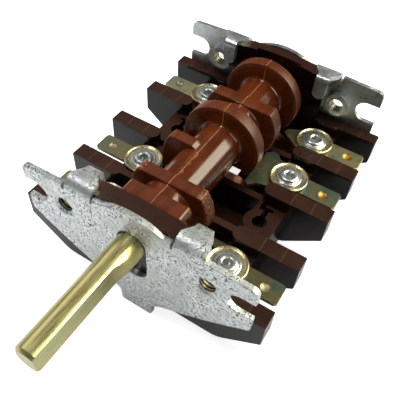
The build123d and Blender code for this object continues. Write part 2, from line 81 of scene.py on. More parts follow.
# Camera, solved from the photograph, in millimetres and degrees
CAMERA_PLACE = (36.016, -41.591, 78.388)
CAMERA_AZIMUTH = 28.44
CAMERA_ELEVATION = 50.09
CAMERA_ROLL = 4.57
CAMERA_LENS = 46.77

# Rotor sizes in millimetres, the same as the solid model's
BODY_R = 5.15
CAM_R = 9.0
DISC_R = 9.2
CAM_TOP = 5.6
OVERLAP = 0.05  # how far the camshaft's forms reach into one another
DETENT = {"front": 6.1, "rear": 9.5, "r": 8.36, "half_x": 7.0, "half_z": 5.5, "root": 0.45}
CAMS = (
    {"front": 12.0, "rear": 14.8, "r": CAM_R, "flat": True, "root": 0.45, "notches": ((205, 250),)},
    {"front": 22.9, "rear": 25.5, "r": CAM_R, "flat": True, "root": 0.0, "notches": ((-90, 100),)},
    {"front": 32.0, "rear": 35.0, "r": DISC_R, "flat": False, "root": 0.9,
     "notches": ((195, 240), (275, 317))},
    {"front": 40.2, "rear": 43.4, "r": CAM_R, "flat": True, "root": 0.45, "notches": ((275, 320),)},
    {"front": 50.8, "rear": 53.6, "r": DISC_R, "flat": False, "root": 0.9, "notches": ((250, 290),)},
)
ROTOR_FRONT = 5.1
ROTOR_REAR = 57.3
ROTOR_BORE_R = 3.05
STUB_R = 4.6
SHAFT = {"r": 3.0, "free": 26.4, "rear": 57.0, "bevel": 0.6, "flat_x": 1.6, "flat_end": -7.5, "run_out": 4.3}
JOURNAL = {"r": 2.0, "front": 56.9, "end": 61.6, "bevel": 0.6}

# Tapped holes, tab marks and a floor window's inner corner in millimetres, the same as the solid model's
TAPPED_X = 16.0
TAPPED_R = 1.65
THREAD_PITCH = 0.7
DIMPLE_X = 23.6
WINDOW_INNER_X = 8.5
WINDOW_FRONT = 3.2
WINDOW_REAR = 2.8

# Web in a floor window in millimetres: its lap onto the window's inner edge, its reach outwards from there,
# and its two faces above the floor's underside
WEB = {"lap": 0.1, "reach": 1.7, "low": 0.3, "high": 1.3}

# Marks in millimetres. A pair says between which half widths, heights, radii or depths a mark comes or fades
MOULD_LINES_X = (19.1, 23.7)
MOULD_LINE_HALF = 0.11
SEAM_HALF = (0.07, 0.13)
SEAM_HEIGHT = (4.0, 4.6)
SCUFF_HALF = (0.25, 0.75)
SCUFF_Y = 19.5
SCUFF_REACH = 5.0
DULL_RIM = (8.2, 8.8)
WORN_RIM = (8.15, 8.45)
WORN_DEPTH = (15.0, 16.0)

# Thicknesses between a terminal's strip and its rivet's head, and the strip's worn edge, in millimetres
LEAF_T = 0.3
WASHER_T = 0.25
STRIP_EDGE = 0.08

# Cross pin's hole in millimetres and degrees, at the solid model's place and drawn 0.1 mm wider
PIN_Y = 18.5
PIN_ANGLE = 24.8
PIN_R = 0.9

# The object's middle in millimetres, and the lights: the direction from it, the distance and size in metres
OBJECT_MIDDLE = (0.0, 20.0, -5.0)
LIGHTS = {
    "Key": {"toward": (0.651, 0.483, 0.584), "distance": 0.238, "size": (0.22, 0.165)},
    "Sky": {"toward": (-0.14, 0.16, 0.97), "distance": 0.60, "size": (0.60, 0.60)},
    "Left": {"toward": (-0.80, 0.20, 0.57), "distance": 0.50, "size": (0.26, 0.20)},
    "Back": {"toward": (-0.45, 0.53, 0.72), "distance": 0.50, "size": (0.20, 0.24)},
    "Front": {"toward": (-0.33, -0.25, 0.91), "distance": 0.50, "size": (0.11, 0.05)},
}


class SwitchSettings(bpy.types.PropertyGroup):
    """Sizes and colours that a user may change."""

    edge: bpy.props.FloatProperty(
        name="Moulded edge", description="Rounding of the moulded edges", default=0.22 * MM,
        min=0.0, max=0.5 * MM, unit="LENGTH", precision=5)
    segments: bpy.props.IntProperty(
        name="Round segments", description="Sides of the finest round pieces", default=96, min=24, max=256)
    base_colour: bpy.props.FloatVectorProperty(
        name="Base", description="Colour of the phenolic base", default=(0.034, 0.0118, 0.0055),
        min=0.0, max=1.0, subtype="COLOR")
    cam_colour: bpy.props.FloatVectorProperty(
        name="Camshaft", description="Colour of the moulded camshaft", default=(0.108, 0.021, 0.004),
        min=0.0, max=1.0, subtype="COLOR")
    zinc_colour: bpy.props.FloatVectorProperty(
        name="Zinc", description="Colour of the plated front plate", default=(0.80, 0.84, 0.83),
        min=0.0, max=1.0, subtype="COLOR")
    chromate_colour: bpy.props.FloatVectorProperty(
        name="Chromate", description="Colour of the yellow chromate", default=(0.62, 0.54, 0.22),
        min=0.0, max=1.0, subtype="COLOR")
    seam_colour: bpy.props.FloatVectorProperty(
        name="Parting line", description="Colour of the camshaft's parting line and scuffs",
        default=(0.52, 0.21, 0.07), min=0.0, max=1.0, subtype="COLOR")
    key_power: bpy.props.FloatProperty(
        name="Key light", description="Power of the large light behind on the right", default=1.4,
        min=0.0, max=50.0, unit="POWER")
    sky_power: bpy.props.FloatProperty(
        name="Overhead light", description="Power of the light above that only the matt surfaces show",
        default=5.0, min=0.0, max=50.0, unit="POWER")
    fill_power: bpy.props.FloatProperty(
        name="Fill light", description="Power of the small light on the left", default=0.25,
        min=0.0, max=50.0, unit="POWER")
    back_power: bpy.props.FloatProperty(
        name="Back light", description="Power of the dim light behind on the left", default=0.055,
        min=0.0, max=50.0, unit="POWER")
    spark_power: bpy.props.FloatProperty(
        name="Spark light", description="Power of the small light above the front", default=0.8,
        min=0.0, max=50.0, unit="POWER")


def settings():
    """The scene's settings for this switch."""
    return bpy.context.scene.switch_settings


# Material graphs

def add(tree, kind, props=None, **inputs):
    """Adds a shader node; its inputs are values or other nodes' sockets."""
    node = tree.nodes.new(kind)
    for key, value in (props or {}).items():
        setattr(node, key, value)
    for key, value in inputs.items():
        socket = node.inputs[key.replace("_", " ")]
        if isinstance(value, bpy.types.NodeSocket):
            tree.links.new(value, socket)
        else:
            socket.default_value = value
    return node


def blank(name):
    """An empty material and its tree."""
    material = bpy.data.materials.new(name)
    material.use_nodes = True
    material.node_tree.nodes.clear()
    return material, material.node_tree


def finish_surface(tree, **inputs):
    """The surface shader and the output."""
    shader = add(tree, "ShaderNodeBsdfPrincipled", **inputs)
    output = add(tree, "ShaderNodeOutputMaterial")
    tree.links.new(shader.outputs[0], output.inputs["Surface"])


def place(tree):
    """Position on the piece in metres, along the shared frame's axes."""
    return add(tree, "ShaderNodeTexCoord").outputs["Object"]


def stretched(tree, vector, scale):
    """The position, stretched by three numbers."""
    return add(tree, "ShaderNodeMapping", Vector=vector, Scale=scale).outputs[0]


def cloud(tree, vector, scale, detail=4.0, roughness=0.55):
    """Soft noise between 0 and 1; its scale is the number of features in a metre."""
    noise = add(tree, "ShaderNodeTexNoise", Vector=vector, Scale=scale, Detail=detail, Roughness=roughness)
    return noise.outputs["Fac"]


def limits(tree, value, low, high, to_low=0.0, to_high=1.0):
    """Maps a range to another, clamped and smooth."""
    node = add(tree, "ShaderNodeMapRange", {"interpolation_type": "SMOOTHSTEP"}, Value=value)
    node.inputs["From Min"].default_value = low
    node.inputs["From Max"].default_value = high
    node.inputs["To Min"].default_value = to_low
    node.inputs["To Max"].default_value = to_high
    return node.outputs[0]


def limits_mm(tree, value, pair, to_low=0.0, to_high=1.0):
    """The same, from a pair of lengths in millimetres."""
    return limits(tree, value, pair[0] * MM, pair[1] * MM, to_low, to_high)


def math_node(tree, operation, a, b=0.0):
    """One arithmetic step."""
    node = tree.nodes.new("ShaderNodeMath")
    node.operation = operation
    for index, value in enumerate((a, b)):
        if isinstance(value, bpy.types.NodeSocket):
            tree.links.new(value, node.inputs[index])
        else:
            node.inputs[index].default_value = value
    return node.outputs[0]


def mixed(tree, factor, a, b, blend="MIX"):
    """A colour between a and b."""
    node = tree.nodes.new("ShaderNodeMix")
    node.data_type = "RGBA"
    node.blend_type = blend
    for socket, value in ((node.inputs[0], factor), (node.inputs[6], a), (node.inputs[7], b)):
        if isinstance(value, bpy.types.NodeSocket):
            tree.links.new(value, socket)
        elif isinstance(value, float):
            socket.default_value = value
        else:
            socket.default_value = (*value, 1.0)
    return node.outputs[2]


def bumped(tree, height, distance, strength=1.0):
    """A bumped normal; distance is the full height in metres."""
    return add(tree, "ShaderNodeBump", Height=height, Distance=distance, Strength=strength).outputs[0]


def axis_value(tree, vector, axis):
    """One coordinate of a vector."""
    return add(tree, "ShaderNodeSeparateXYZ", Vector=vector).outputs[axis]


def length_of(tree, vector):
    """The length of a vector."""
    return add(tree, "ShaderNodeVectorMath", {"operation": "LENGTH"}, Vector=vector).outputs["Value"]


def line_mask(tree, value, centre, half_width):
    """1 on a thin line where the value is near the centre."""
    away = math_node(tree, "ABSOLUTE", math_node(tree, "SUBTRACT", value, centre))
    return limits(tree, away, half_width * 0.5, half_width, 1.0, 0.0)


def shaded(colour, share):
    """A colour made darker or brighter by a factor."""
    return tuple(c * share for c in colour)


def phenolic():
    """Dark brown moulding: sides drawn near black against browner tops as painted shade, faint mould lines
    across the fins, dusty patches.
    """
    material, tree = blank("Phenolic moulding")
    where = place(tree)
    across = math_node(tree, "ABSOLUTE", axis_value(tree, where, 0))
    lines = math_node(tree, "MAXIMUM",
                      *(line_mask(tree, across, x * MM, MOULD_LINE_HALF * MM) for x in MOULD_LINES_X))
    facing = axis_value(tree, add(tree, "ShaderNodeNewGeometry").outputs["Normal"], 2)
    upward = limits(tree, facing, 0.6, 0.9)
    patches = cloud(tree, where, 160.0, 5.0)
    grain = cloud(tree, where, 2600.0, 3.0)
    colour = settings().base_colour
    brown = mixed(tree, limits(tree, patches, 0.35, 0.7), shaded(colour, 0.85), shaded(colour, 1.2))
    # Painted shade: the sides are darkened towards near black, the tops keep the brown
    side = mixed(tree, 0.85, brown, (0.003, 0.002, 0.002))
    base = mixed(tree, upward, side, brown)
    base = mixed(tree, math_node(tree, "MULTIPLY", lines, math_node(tree, "MULTIPLY", upward, 0.5)), base,
                 (0.16, 0.075, 0.055))
    rough = math_node(tree, "ADD", limits(tree, patches, 0.3, 0.75, 0.0, 0.10),
                      limits(tree, facing, 0.6, 0.9, 0.14, 0.27))
    level = limits(tree, facing, 0.6, 0.9, 0.30, 0.26)
    height = math_node(tree, "ADD", grain, math_node(tree, "MULTIPLY", patches, 0.5))
    finish_surface(tree, Base_Color=base, Roughness=rough, IOR=1.5, Specular_IOR_Level=level,
                   Normal=bumped(tree, height, 0.012 * MM))
    return material


def cam_plastic():
    """Glossy red-brown moulding with faint flow marks."""
    material, tree = blank("Camshaft moulding")
    where = place(tree)
    flow = cloud(tree, stretched(tree, where, (1.0, 0.25, 1.0)), 420.0, 4.0)
    fine = cloud(tree, where, 2400.0, 3.0)
    colour = settings().cam_colour
    base = mixed(tree, limits(tree, flow, 0.3, 0.72), shaded(colour, 0.80), shaded(colour, 1.30))
    radius = length_of(tree, stretched(tree, where, (1.0, 0.0, 1.0)))
    rim = limits_mm(tree, radius, DULL_RIM, 0.0, 0.24)
    base = mixed(tree, seam_mask(tree, where), base, tuple(settings().seam_colour))
    base = mixed(tree, wear_mask(tree, where, radius), base, tuple(settings().seam_colour))
    # Painted shade: the pin's hole drawn near black, with a paler ring at its lip
    hole, lip = pin_shade_and_lip_masks(tree, where)
    base = mixed(tree, lip, mixed(tree, hole, base, (0.004, 0.002, 0.002)), shaded(colour, 1.8))
    rough = math_node(tree, "ADD", limits(tree, flow, 0.3, 0.75, 0.14, 0.24), rim)
    height = math_node(tree, "ADD", flow, math_node(tree, "MULTIPLY", fine, 0.15))
    height = math_node(tree, "SUBTRACT", height, math_node(tree, "MULTIPLY", hole, 6.0))
    level = limits_mm(tree, radius, DULL_RIM, 0.36, 0.22)
    finish_surface(tree, Base_Color=base, Roughness=rough, IOR=1.5, Specular_IOR_Level=level,
                   Normal=bumped(tree, height, 0.02 * MM))
    return material


def seam_mask(tree, where):
    """The pale parting line along the top of the camshaft, with scuffed flash beside its middle."""
    aside = math_node(tree, "ABSOLUTE", axis_value(tree, where, 0))
    upper = limits_mm(tree, axis_value(tree, where, 2), SEAM_HEIGHT)
    along = line_mask(tree, axis_value(tree, where, 1), SCUFF_Y * MM, SCUFF_REACH * MM)
    worn = cloud(tree, stretched(tree, where, (1.0, 0.4, 1.0)), 2400.0, 3.0, 0.7)
    line = math_node(tree, "MULTIPLY", limits_mm(tree, aside, SEAM_HALF, 1.0, 0.0),
                     limits(tree, worn, 0.30, 0.50, 0.45, 1.0))
    scuff = math_node(tree, "MULTIPLY", limits_mm(tree, aside, SCUFF_HALF, 1.0, 0.0),
                      limits(tree, worn, 0.53, 0.60))
    scuff = math_node(tree, "MULTIPLY", scuff, along)
    marked = math_node(tree, "MULTIPLY", math_node(tree, "MAXIMUM", line, scuff), upper)
    return math_node(tree, "MULTIPLY", marked, 0.7)


def wear_mask(tree, where, radius):
    """Pale scuffs on the rims of the front cam, the detent block's corners and the plain discs."""
    rim = limits_mm(tree, radius, WORN_RIM)
    front = limits_mm(tree, axis_value(tree, where, 1), WORN_DEPTH, 0.65, 0.10)
    torn = cloud(tree, stretched(tree, where, (1.0, 2.5, 1.0)), 1500.0, 4.0, 0.7)
    worn = math_node(tree, "MULTIPLY", rim, front)
    return math_node(tree, "MULTIPLY", worn, limits(tree, torn, 0.50, 0.60))


def pin_shade_and_lip_masks(tree, where):
    """The cross pin's hole through the camshaft: its inside drawn near black as painted shade, and its lip as
    a paler ring.
    """
    turn = math.radians(PIN_ANGLE)
    level = math_node(tree, "MULTIPLY", axis_value(tree, where, 2), math.cos(turn))
    aside = math_node(tree, "MULTIPLY", axis_value(tree, where, 0), math.sin(turn))
    rise = math_node(tree, "SUBTRACT", level, aside)
    along = math_node(tree, "SUBTRACT", axis_value(tree, where, 1), PIN_Y * MM)
    away = length_of(tree, add(tree, "ShaderNodeCombineXYZ", X=rise, Y=along, Z=0.0).outputs[0])
    return (limits_mm(tree, away, (PIN_R - 0.08, PIN_R), 1.0, 0.0),
            line_mask(tree, away, (PIN_R + 0.10) * MM, 0.14 * MM))


def thread_shade_masks(tree, where):
    """Painted shade inside the tapped holes: the mask of the bore, and the rings of its thread with dark
    roots and lighter crests.
    """
    across = math_node(tree, "ABSOLUTE", axis_value(tree, where, 0))
    aside = math_node(tree, "SUBTRACT", across, TAPPED_X * MM)
    around = add(tree, "ShaderNodeCombineXYZ", X=aside, Y=0.0, Z=axis_value(tree, where, 2)).outputs[0]
    radius = length_of(tree, around)
    bore = limits_mm(tree, radius, (TAPPED_R + 0.04, TAPPED_R + 0.10), 1.0, 0.0)
    phase = math_node(tree, "MULTIPLY", axis_value(tree, where, 1), 2 * math.pi / (THREAD_PITCH * MM))
    return bore, limits(tree, math_node(tree, "SINE", phase), -0.4, 0.5)


def mottled_zinc(name, colour, rough, mark_low, dark_share, metallic, painted_top_light):
    """Plated steel: crystal patches, clouds, dark curled marks and pits, upward faces drawn darker or lighter
    as painted light and shade, and threads in the tapped holes in painted shade.
    """
    material, tree = blank(name)
    where = place(tree)
    crystals = add(tree, "ShaderNodeTexVoronoi", Vector=where, Scale=620.0, Randomness=1.0).outputs["Color"]
    crystal = axis_value(tree, crystals, 0)
    clouds = cloud(tree, where, 240.0, 6.0, 0.62)
    curl = math_node(tree, "ABSOLUTE", math_node(tree, "SUBTRACT", cloud(tree, where, 720.0, 3.0, 0.6), 0.5))
    breaks = cloud(tree, where, 1400.0, 2.0)
    pits = cloud(tree, where, 2300.0, 2.0)
    gather = limits(tree, clouds, 0.36, 0.60, 0.35, 1.0)
    marks = math_node(tree, "MULTIPLY", limits(tree, curl, 0.018, 0.05, 1.0, 0.0),
                      limits(tree, breaks, mark_low, mark_low + 0.07))
    marks = math_node(tree, "MAXIMUM", marks, limits(tree, pits, mark_low + 0.12, mark_low + 0.18))
    specks = math_node(tree, "MULTIPLY", marks, gather)
    bright = mixed(tree, limits(tree, clouds, 0.30, 0.70), shaded(colour, 0.78),
                   tuple(min(1.0, c) for c in shaded(colour, 1.22)))
    tinted = mixed(tree, limits(tree, crystal, 0.0, 1.0, 0.0, 0.35), bright, shaded(colour, 0.82))
    base = mixed(tree, math_node(tree, "MULTIPLY", specks, dark_share), tinted, (0.035, 0.04, 0.04))
    facing = axis_value(tree, add(tree, "ShaderNodeNewGeometry").outputs["Normal"], 2)
    # Painted light and shade: upward faces drawn darker or lighter than the rest of the plate
    base = mixed(tree, 1.0, base, limits(tree, facing, 0.6, 0.95, 1.0, painted_top_light), "MULTIPLY")
    # Painted shade in the tapped holes: a dark bore with lighter thread crests
    bore, crest = thread_shade_masks(tree, where)
    base = mixed(tree, bore, base, mixed(tree, crest, (0.035, 0.03, 0.025), (0.42, 0.38, 0.28)))
    roughness = math_node(tree, "ADD", limits(tree, clouds, 0.3, 0.7, rough, rough + 0.14),
                          math_node(tree, "MULTIPLY", specks, 0.2))
    height = math_node(tree, "SUBTRACT", math_node(tree, "MULTIPLY", clouds, 0.8),
                       math_node(tree, "MULTIPLY", specks, 0.5))
    finish_surface(tree, Base_Color=base, Metallic=metallic, Roughness=roughness,
                   Normal=bumped(tree, height, 0.06 * MM))
    return material


def chromate(name, colour, rough, tint, tint_share, stain, metallic=0.9, stretch=1.0):
    """Yellow chromate on steel, with a rainbow tint in clouds and darker stains."""
    material, tree = blank(name)
    where = place(tree)
    drawn = stretched(tree, where, (1.0, stretch, 1.0))
    clouds = cloud(tree, drawn, 190.0, 4.0, 0.6)
    grain = cloud(tree, drawn, 2100.0, 4.0, 0.6)
    spots = cloud(tree, drawn, 700.0, 5.0, 0.7)
    yellow = mixed(tree, limits(tree, grain, 0.3, 0.7), shaded(colour, 0.82), colour)
    toned = mixed(tree, limits(tree, clouds, 0.44, 0.66, 0.0, tint_share), yellow, tint)
    base = mixed(tree, limits(tree, spots, 0.58, 0.70, 0.0, stain), toned, (0.24, 0.12, 0.025))
    roughness = limits(tree, grain, 0.3, 0.7, rough, rough + 0.10)
    finish_surface(tree, Base_Color=base, Metallic=metallic, Roughness=roughness,
                   Normal=bumped(tree, grain, 0.006 * MM))
    return material


def bare_metal(name, colour, rough, metallic=1.0):
    """Plain metal with a fine grain."""
    material, tree = blank(name)
    where = place(tree)
    grain = cloud(tree, where, 1800.0, 4.0, 0.6)
    base = mixed(tree, limits(tree, grain, 0.3, 0.7), shaded(colour, 0.8), colour)
    roughness = limits(tree, grain, 0.3, 0.7, rough, rough + 0.1)
    finish_surface(tree, Base_Color=base, Metallic=metallic, Roughness=roughness,
                   Normal=bumped(tree, grain, 0.006 * MM))
    return material


# Geometry

def node_object(name):
    """A CAD node's object."""
    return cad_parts[name]


def give(obj, material):
    """Makes a material the only one of a piece."""
    obj.data.materials.clear()
    obj.data.materials.append(material)


def soften(name, width, angle=32.0):
    """Welds a CAD node's flat faces and rounds its sharp edges, without touching its own vertices."""
    obj = node_object(name)
    mesh = obj.data
    if "custom_normal" in mesh.attributes:
        mesh.attributes.remove(mesh.attributes["custom_normal"])
    mesh.shade_smooth()
    weld = obj.modifiers.new("Weld", "WELD")
    weld.merge_threshold = 0.002 * MM
    flat = obj.modifiers.new("Flat faces", "DECIMATE")
    flat.decimate_type = "DISSOLVE"
    flat.angle_limit = math.radians(1.0)
    if width > 0:
        bevel = obj.modifiers.new("Edges", "BEVEL")
        bevel.limit_method = "ANGLE"
        bevel.angle_limit = math.radians(angle)
        bevel.width = width
        bevel.segments = 2
        bevel.use_clamp_overlap = True
        obj.modifiers.new("Normals", "WEIGHTED_NORMAL").keep_sharp = True
    else:
        split = obj.modifiers.new("Sharp edges", "EDGE_SPLIT")
        split.split_angle = math.radians(angle)
    return obj


def new_piece(name, mesh_builder, body, replaced, sharp=35.0):
    """A fine piece in place of a CAD node."""
    bm = bmesh.new()
    mesh_builder(bm)
    bmesh.ops.recalc_face_normals(bm, faces=bm.faces)
    mesh = bpy.data.meshes.new(name)
    bm.to_mesh(mesh)
    bm.free()
    mesh.shade_smooth()
    mesh.set_sharp_from_angle(angle=math.radians(sharp))
    obj = bpy.data.objects.new(name, mesh)
    bpy.context.scene.collection.objects.link(obj)
    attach(obj, body)
    if replaced:
        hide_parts(replaced)
    return obj


def bridge(bm, rings):
    """Joins each ring of points to the next with a band of faces."""
    for first, second in zip(rings, rings[1:]):
        count = len(first)
        for i in range(count):
            j = (i + 1) % count
            bm.faces.new((first[i], first[j], second[j], second[i]))


def turned_piece(name, profile, centre, segments, replaced):
    """A fine round piece of the housing, turned about an upright axis."""
    return new_piece(name, lambda bm: spin_profile(bm, profile, "Z", centre, segments), "housing", replaced,
                     40.0)


def spin_profile(bm, profile, along, centre, segments):
    """A turned shape: profile holds (radius, height) pairs in millimetres, from end to end."""
    rings = []
    for radius, height in profile:
        ring = []
        for i in range(segments):
            angle = 2 * math.pi * i / segments
            a = radius * math.cos(angle)
            b = radius * math.sin(angle)
            place_mm = Vector((a, height, b)) if along == "Y" else Vector((a, b, height))
            ring.append(bm.verts.new((place_mm + Vector(centre)) * MM))
        rings.append(ring)
    bridge(bm, rings)
    return rings


def cap(bm, ring):
    """Closes a ring of points."""
    bm.faces.new(ring)


def prism(bm, outline, front, rear, edge):
    """A slab along Y with rounded rims: the outline holds (x, z) pairs in millimetres, counter-clockwise."""
    steps = 3
    stations = []
    for k in range(steps + 1):
        turn = math.pi / 2 * k / steps
        stations.append((front + edge * (1 - math.sin(turn)), edge * (1 - math.cos(turn))))
    stations = stations[::-1]
    stations += [(rear - (y - front), inset) for y, inset in reversed(stations)]
    rings = []
    for y, inset in stations:
        rings.append([bm.verts.new(Vector((x, y, z)) * MM) for x, z in inset_outline(outline, inset)])
    bridge(bm, rings)
    cap(bm, rings[0])
    cap(bm, rings[-1])


def inset_outline(outline, inset):
    """The outline, moved inwards by a small amount at every corner."""
    if inset <= 0:
        return outline
    moved = []
    count = len(outline)
    for i in range(count):
        before = Vector(outline[i - 1])
        here = Vector(outline[i])
        after = Vector(outline[(i + 1) % count])
        a = (here - before).normalized()
        b = (after - here).normalized()
        normal_a = Vector((-a.y, a.x))
        normal_b = Vector((-b.y, b.x))
        both = normal_a + normal_b
        if both.length < 1e-6:
            both = normal_a.copy()
        both.normalize()
        reach = inset / max(0.4, both.dot(normal_a))
        moved.append(here + both * reach)
    return [(p.x, p.y) for p in moved]


def cam_outline(spec, segments):
    """A cam's outline with its flat top and its notches down to the body."""
    points = []
    for i in range(segments):
        angle = 360.0 * i / segments
        radius = spec["r"]
        for start, end in spec["notches"]:
            if start < angle < end or start < angle - 360 < end:
                radius = BODY_R - OVERLAP
        x = radius * math.cos(math.radians(angle))
        z = radius * math.sin(math.radians(angle))
        if spec["flat"]:
            z = min(z, CAM_TOP)
        points.append((x, z))
    return tidy_outline(points)


def tidy_outline(points):
    """Drops points that repeat or lie on a straight run."""
    kept = []
    count = len(points)
    for i, here in enumerate(points):
        before = Vector(points[i - 1])
        after = Vector(points[(i + 1) % count])
        a = Vector(here) - before
        b = after - Vector(here)
        if a.length < 1e-4:
            continue
        straight = abs(a.x * b.y - a.y * b.x) < 1e-5
        if straight and a.dot(b) > 0:
            continue
        kept.append(here)
    return kept


def detent_outline():
    """The square block with round corners."""
    points = []
    for i in range(180):
        angle = math.radians(2.0 * i)
        x = max(-DETENT["half_x"], min(DETENT["half_x"], DETENT["r"] * math.cos(angle)))
        z = max(-DETENT["half_z"], min(DETENT["half_z"], DETENT["r"] * math.sin(angle)))
        points.append((x, z))
    return tidy_outline(points)


def build_camshaft(bm):
    """The moulded camshaft with its cams, root rounds, parting line and end faces."""
    segments = settings().segments
    edge = settings().edge / MM
    bevel = 0.2
    profile = [(ROTOR_BORE_R, ROTOR_FRONT), (STUB_R - bevel, ROTOR_FRONT), (STUB_R, ROTOR_FRONT + bevel),
               (STUB_R, DETENT["front"] + 0.4), (BODY_R, DETENT["front"] + 0.5)]
    profile += root_round(DETENT["rear"], DETENT["root"], 1)
    for spec in CAMS:
        if spec["root"] > 0:
            profile += root_round(spec["front"], spec["root"], -1) + root_round(spec["rear"], spec["root"], 1)
    profile += [(BODY_R, ROTOR_REAR - bevel), (BODY_R - bevel, ROTOR_REAR), (ROTOR_BORE_R, ROTOR_REAR)]
    spin_profile(bm, profile, "Y", (0, 0, 0), segments)
    prism(bm, detent_outline(), DETENT["front"], DETENT["rear"], edge)
    for spec in CAMS:
        prism(bm, cam_outline(spec, segments * 2), spec["front"], spec["rear"], edge)
    parting_line(bm)


def root_round(face, size, side):
    """The round at a cam's foot, as (radius, height) pairs; side is -1 in front of it and 1 behind it."""
    steps = 6
    points = []
    for k in range(steps + 1):
        turn = math.pi / 2 * k / steps
        points.append((BODY_R + size * (1 - math.cos(turn)), face + side * (size - size * math.sin(turn))))
    points.append((BODY_R + size, face - side * OVERLAP))
    return points if side < 0 else points[::-1]


def parting_line(bm):
    """The fine raised seam along the top of the camshaft."""
    half = SEAM_HALF[0]
    rise = 0.05
    depth = 0.15
    margin = 0.3
    cam, middle, last = CAMS[0], CAMS[2], CAMS[4]
    runs = [(DETENT["front"] + margin, cam["front"], CAM_TOP), (cam["front"], cam["rear"], CAM_TOP),
            (cam["rear"], middle["front"], BODY_R), (middle["front"], middle["rear"], DISC_R),
            (middle["rear"], last["front"], BODY_R), (last["front"], last["rear"], DISC_R),
            (last["rear"], ROTOR_REAR - margin, BODY_R)]
    for front, rear, top in runs:
        steps = max(2, int((rear - front) * 3))
        rows = []
        for k in range(steps + 1):
            y = front + (rear - front) * k / steps
            wave = rise * (0.75 + 0.25 * math.sin(9.7 * y) * math.sin(3.1 * y + 1.0))
            row = [(-half, top - depth), (-half * 0.6, top + wave),
                   (half * 0.6, top + wave), (half, top - depth)]
            rows.append([bm.verts.new(Vector((x, y, z)) * MM) for x, z in row])
        for first, second in zip(rows, rows[1:]):
            for i in range(3):
                bm.faces.new((first[i], first[i + 1], second[i + 1], second[i]))


def build_shaft(bm):
    """The knob shaft with its flat, its chamfered tip and its rear journal."""
    segments = settings().segments
    radius = SHAFT["r"]
    flat_x = SHAFT["flat_x"]
    bevel = SHAFT["bevel"]
    tip = -SHAFT["free"]
    stations = [(tip, radius - bevel, flat_x), (tip + bevel * 0.9, radius - 0.04, flat_x),
                (tip + bevel, radius, flat_x)]
    count = 12
    for k in range(1, count + 1):
        stations.append((tip + bevel + (SHAFT["flat_end"] - tip - bevel) * k / count, radius, flat_x))
    for k in range(1, count + 1):
        turn = k / count
        limit = flat_x + (radius - flat_x) * turn ** 1.5
        stations.append((SHAFT["flat_end"] + SHAFT["run_out"] * turn, radius, limit))
    stations += [(y, radius, radius) for y in (0.0, 30.0, SHAFT["rear"])]
    rings = []
    for y, r, limit in stations:
        ring = []
        for i in range(segments):
            angle = 2 * math.pi * i / segments
            x = min(r * math.cos(angle), limit)
            ring.append(bm.verts.new(Vector((x, y, r * math.sin(angle))) * MM))
        rings.append(ring)
    bridge(bm, rings)
    cap(bm, rings[0])
    cap(bm, rings[-1])
    profile = [(JOURNAL["r"], JOURNAL["front"]), (JOURNAL["r"], JOURNAL["end"] - JOURNAL["bevel"]),
               (JOURNAL["r"] - JOURNAL["bevel"], JOURNAL["end"])]
    cap(bm, spin_profile(bm, profile, "Y", (0, 0, 0), segments // 2)[-1])


def rivet_profile(seat):
    """A rolled hollow head over a shank and a closed tail, as (radius, height) pairs."""
    bore_r, shank_r, tail_r = 0.85, 1.5, 2.3
    roll_at, roll_wide, roll_high = 1.50, 0.65, 0.52
    rim_at, rim_wide, rim_high = 2.55, 0.33, 0.26
    points = [(AXIS_R, seat - 1.2), (bore_r - 0.23, seat - 1.1), (bore_r - 0.05, seat - 0.5),
              (bore_r, seat + 0.35)]
    for k in range(9):
        turn = math.radians(180 - 22.5 * k)
        points.append((roll_at + roll_wide * math.cos(turn), seat + 0.45 + roll_high * math.sin(turn)))
    points += [(2.22, seat + 0.38), (2.34, seat + 0.30)]
    for k in range(6):
        turn = math.radians(90 - 18 * k)
        points.append((rim_at + rim_wide * math.cos(turn), seat + 0.08 + rim_high * math.sin(turn)))
    points += [(rim_at + rim_wide, seat), (shank_r, seat), (shank_r, seat - 4.2), (tail_r, seat - 4.7),
               (tail_r, seat - 5.1), (0.9, seat - 5.15)]
    return points


def washer_profile(low):
    """A dished washer with a rolled rim, as (radius, height) pairs."""
    bore_r, rim_at, rim_r = 1.55, 4.13, 0.25
    points = [(bore_r, low), (bore_r, low + 0.23), (2.9, low + 0.25), (3.45, low + 0.27), (3.75, low + 0.36)]
    for k in range(7):
        turn = math.radians(150 - 30 * k)
        points.append((rim_at + rim_r * math.cos(turn), low + 0.33 + rim_r * math.sin(turn)))
    points += [(rim_at + rim_r, low + 0.15), (4.3, low), (bore_r, low)]
    return points


def dimple_profile(top):
    """The dished floor of a tab's round mark, as (radius, height) pairs."""
    rim_r = 1.09
    return [(AXIS_R, top - 0.55), (0.55, top - 0.50), (0.90, top - 0.36), (rim_r, top - 0.16),
            (rim_r, top - 0.75), (AXIS_R, top - 0.75)]


def build_web(bm):
    """A thin web in one floor window, so that no light shows through beside the second right terminal."""
    y = rivet_place("right_2")[1]
    floor_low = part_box("switch_base")[0].z / MM
    low = (WINDOW_INNER_X - WEB["lap"], y - WINDOW_FRONT, floor_low + WEB["low"])
    high = (WINDOW_INNER_X + WEB["reach"], y + WINDOW_REAR, floor_low + WEB["high"])
    bmesh.ops.create_cube(bm, size=1.0)
    for vert in bm.verts:
        vert.co = Vector([(a + b) / 2 + c * (b - a) for a, b, c in zip(low, high, vert.co)]) * MM


def rivet_place(row):
    """Centre of a terminal's rivet, in millimetres, from the frame."""
    low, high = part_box("terminal_rivet_" + row)
    centre = (low + high) / 2 / MM
    return centre.x, centre.y


